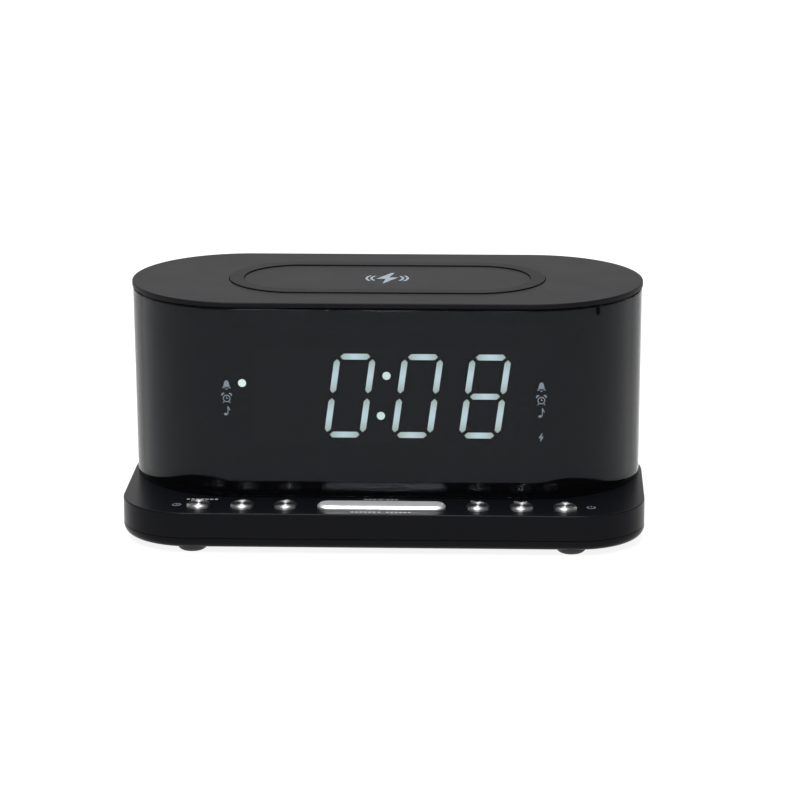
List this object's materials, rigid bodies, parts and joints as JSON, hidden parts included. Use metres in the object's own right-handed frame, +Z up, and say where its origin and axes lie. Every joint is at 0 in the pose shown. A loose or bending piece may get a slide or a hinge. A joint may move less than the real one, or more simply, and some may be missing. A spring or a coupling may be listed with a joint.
{
  "type": "clock radio",
  "caption": "Bedside clock radio: stadium-shaped cabinet with a phone-charging lid, smoked wrap-round front with a lit digital display, and a low plinth with press keys",
  "frame": {"origin": "floor level, under the middle of the object's footprint", "axes": "+X to the right along the front, +Y from the front to the back, +Z up"},
  "size_m": [0.182, 0.0996, 0.0851],
  "materials": {
    "lid_plastic": "fine soft-touch texture",
    "ring_rubber": "soft matt moulding",
    "smoked_acrylic": "polished, smoked",
    "black_plastic": "satin moulded",
    "inner_plastic": "plain moulded",
    "foot_rubber": "matt",
    "key_metal": "spun and brushed",
    "plunger_plastic": "moulded",
    "switch_plastic": "moulded",
    "board_laminate": "solder resist",
    "mask_print": "printed film",
    "reflector_black": "matt face",
    "lit_diffuser": "lit white diffuser",
    "dark_diffuser": "unlit diffuser",
    "lamp_body": "lamp package",
    "chip_black": "moulded",
    "capacitor_can": "sleeved can",
    "lead_film": "flat lead",
    "coil_copper": "wound enamelled wire",
    "ferrite_grey": "sintered",
    "basket_steel": "pressed steel",
    "magnet_ferrite": "sintered",
    "cone_paper": "pressed paper",
    "gasket_foam": "foam ring",
    "jack_plastic": "moulded",
    "socket_steel": "plated shell",
    "gland_rubber": "matt",
    "cell_steel": "plated cell",
    "contact_spring": "plated spring",
    "screw_steel": "blackened",
    "label_paper": "blank label"
  },
  "bodies": {
    "cabinet": {"adapter_jack": "jack_plastic", "aerial_gland": "gland_rubber", "board_chips": "chip_black", "board_screws": "screw_steel", "bottom_cover": "black_plastic", "capacitors": "capacitor_can", "case_screws": "screw_steel", "cell_cage": "inner_plastic", "cell_contacts": "contact_spring", "charger_board": "board_laminate", "charging_coil": "coil_copper", "coil_tray": "inner_plastic", "colon_dots": "lit_diffuser", "cover_screws": "screw_steel", "dark_indicators": "dark_diffuser", "dark_segments": "dark_diffuser", "display_board": "board_laminate", "display_lead": "lead_film", "display_reflector": "reflector_black", "ferrite_sheet": "ferrite_grey", "front_frame": "inner_plastic", "front_left_foot": "foot_rubber", "front_right_foot": "foot_rubber", "grip_ring": "ring_rubber", "indicator_lamps": "lamp_body", "key_board": "board_laminate", "key_lead": "lead_film", "key_switches": "switch_plastic", "lit_indicator": "lit_diffuser", "lit_segments": "lit_diffuser", "main_board": "board_laminate", "mask_film": "mask_print", "plinth_deck": "black_plastic", "rating_label": "label_paper", "rear_housing": "black_plastic", "rear_left_foot": "foot_rubber", "rear_right_foot": "foot_rubber", "smoked_front": "smoked_acrylic", "speaker_cone": "cone_paper", "speaker_frame": "basket_steel", "speaker_gasket": "gasket_foam", "speaker_magnet": "magnet_ferrite", "top_cover": "lid_plastic", "usb_socket": "socket_steel"},
    "time_button": {"time_key": "key_metal", "time_plunger": "plunger_plastic"},
    "down_button": {"down_key": "key_metal", "down_plunger": "plunger_plastic"},
    "up_button": {"up_key": "key_metal", "up_plunger": "plunger_plastic"},
    "alarm_one_button": {"alarm_one_key": "key_metal", "alarm_one_plunger": "plunger_plastic"},
    "alarm_two_button": {"alarm_two_key": "key_metal", "alarm_two_plunger": "plunger_plastic"},
    "power_button": {"power_key": "key_metal", "power_plunger": "plunger_plastic"},
    "snooze_button": {"snooze_key": "key_metal", "snooze_plunger": "plunger_plastic"},
    "cell_drawer": {"cell_tray": "inner_plastic", "coin_cell": "cell_steel"}
  },
  "joints": [
    {"name": "time_press", "type": "slide", "parent": "cabinet", "child": "time_button", "axis": [0, 0, -1], "range_m": [0, 0.0007], "stiffness_N_per_m": 400, "springref_m": -0.0006},
    {"name": "down_press", "type": "slide", "parent": "cabinet", "child": "down_button", "axis": [0, 0, -1], "range_m": [0, 0.0007], "stiffness_N_per_m": 400, "springref_m": -0.0006},
    {"name": "up_press", "type": "slide", "parent": "cabinet", "child": "up_button", "axis": [0, 0, -1], "range_m": [0, 0.0007], "stiffness_N_per_m": 400, "springref_m": -0.0006},
    {"name": "alarm_one_press", "type": "slide", "parent": "cabinet", "child": "alarm_one_button", "axis": [0, 0, -1], "range_m": [0, 0.0007], "stiffness_N_per_m": 400, "springref_m": -0.0006},
    {"name": "alarm_two_press", "type": "slide", "parent": "cabinet", "child": "alarm_two_button", "axis": [0, 0, -1], "range_m": [0, 0.0007], "stiffness_N_per_m": 400, "springref_m": -0.0006},
    {"name": "power_press", "type": "slide", "parent": "cabinet", "child": "power_button", "axis": [0, 0, -1], "range_m": [0, 0.0007], "stiffness_N_per_m": 400, "springref_m": -0.0006},
    {"name": "snooze_press", "type": "slide", "parent": "cabinet", "child": "snooze_button", "axis": [0, 0, -1], "range_m": [0, 0.0007], "stiffness_N_per_m": 400, "springref_m": -0.0006},
    {"name": "cell_drawer_slide", "type": "slide", "parent": "cabinet", "child": "cell_drawer", "axis": [0, 1, 0], "range_m": [0, 0.022]}
  ]
}
